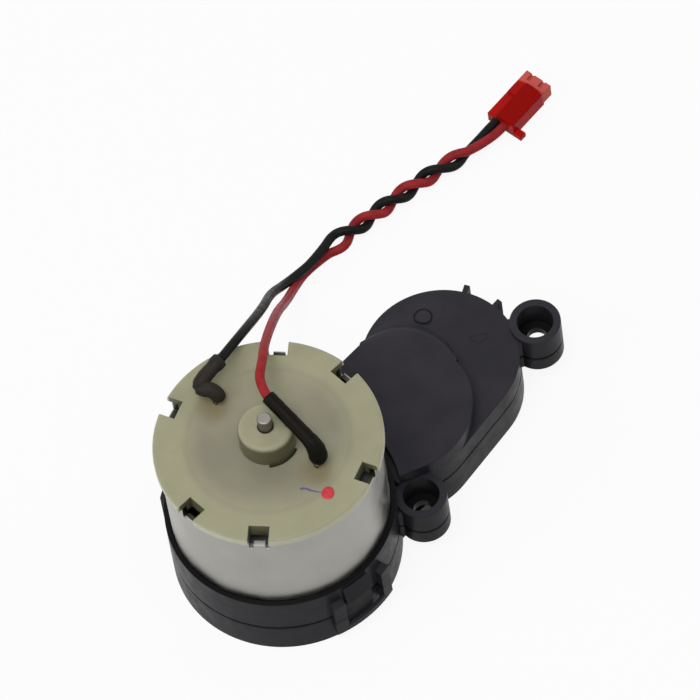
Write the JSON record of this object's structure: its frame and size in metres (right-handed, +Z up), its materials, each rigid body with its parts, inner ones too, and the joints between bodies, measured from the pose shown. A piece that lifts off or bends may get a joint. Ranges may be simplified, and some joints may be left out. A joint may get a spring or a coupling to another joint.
{
  "type": "robot vacuum side brush motor",
  "caption": "Side brush gearmotor: flat round DC motor with a moulded cap on a black snap-fit gear housing, with screw ears, a square output socket underneath and a lead with a connector.",
  "frame": {"origin": "the output axis at the flat underside of the gear housing", "axes": "+X from the motor axis towards the output axis, +Z up from the underside towards the motor cap"},
  "size_m": [0.0954, 0.0472, 0.0375],
  "materials": {
    "black_plastic": "satin moulded",
    "plated_steel": "zinc plated, dull",
    "natural_plastic": "unpigmented, slightly translucent",
    "ferrite": "ground",
    "core_steel": "laminated",
    "copper": "bright",
    "shaft_steel": "ground",
    "bronze": "satin",
    "gear_plastic": "natural white",
    "sleeve": "matt",
    "wire_black": "smooth",
    "wire_red": "smooth",
    "red_plastic": "moulded"
  },
  "bodies": {
    "housing": {"lower_housing": "black_plastic", "upper_housing": "black_plastic", "motor_can": "plated_steel", "end_cap": "natural_plastic", "magnet_front": "ferrite", "magnet_back": "ferrite", "brush_arm_black": "copper", "brush_arm_red": "copper", "front_bearing": "bronze", "rear_bearing": "bronze", "thrust_washers": "gear_plastic", "motor_screws": "shaft_steel", "first_axle": "shaft_steel", "second_axle": "shaft_steel", "output_pin": "shaft_steel", "terminal_black": "bronze", "terminal_red": "bronze", "sleeve_black": "sleeve", "sleeve_red": "sleeve", "wire_black": "wire_black", "wire_red": "wire_red", "wire_pair": "wire_red", "connector_housing": "red_plastic", "connector_contacts": "bronze"},
    "rotor": {"armature_core": "core_steel", "windings": "copper", "motor_shaft": "shaft_steel", "commutator": "copper", "motor_pinion": "bronze"},
    "first_stage": {"first_gear": "gear_plastic"},
    "second_stage": {"second_gear": "gear_plastic"},
    "output": {"output_gear": "gear_plastic"}
  },
  "joints": [
    {"name": "rotor_spin", "type": "hinge", "parent": "housing", "child": "rotor", "pos_m": [-0.0327, 0, 0], "axis": [0, 0, 1], "continuous": true},
    {"name": "first_spin", "type": "hinge", "parent": "housing", "child": "first_stage", "pos_m": [-0.0222, -0.00145, 0], "axis": [0, 0, 1], "continuous": true},
    {"name": "second_spin", "type": "hinge", "parent": "housing", "child": "second_stage", "pos_m": [-0.0107, -0.00147, 0], "axis": [0, 0, 1], "continuous": true},
    {"name": "output_spin", "type": "hinge", "parent": "housing", "child": "output", "pos_m": [0, 0, 0], "axis": [0, 0, 1], "continuous": true}
  ],
  "couplings": [
    {"joint": "first_spin", "follows": "rotor_spin", "ratio": -0.29268},
    {"joint": "second_spin", "follows": "rotor_spin", "ratio": 0.12805},
    {"joint": "output_spin", "follows": "rotor_spin", "ratio": -0.064024}
  ]
}
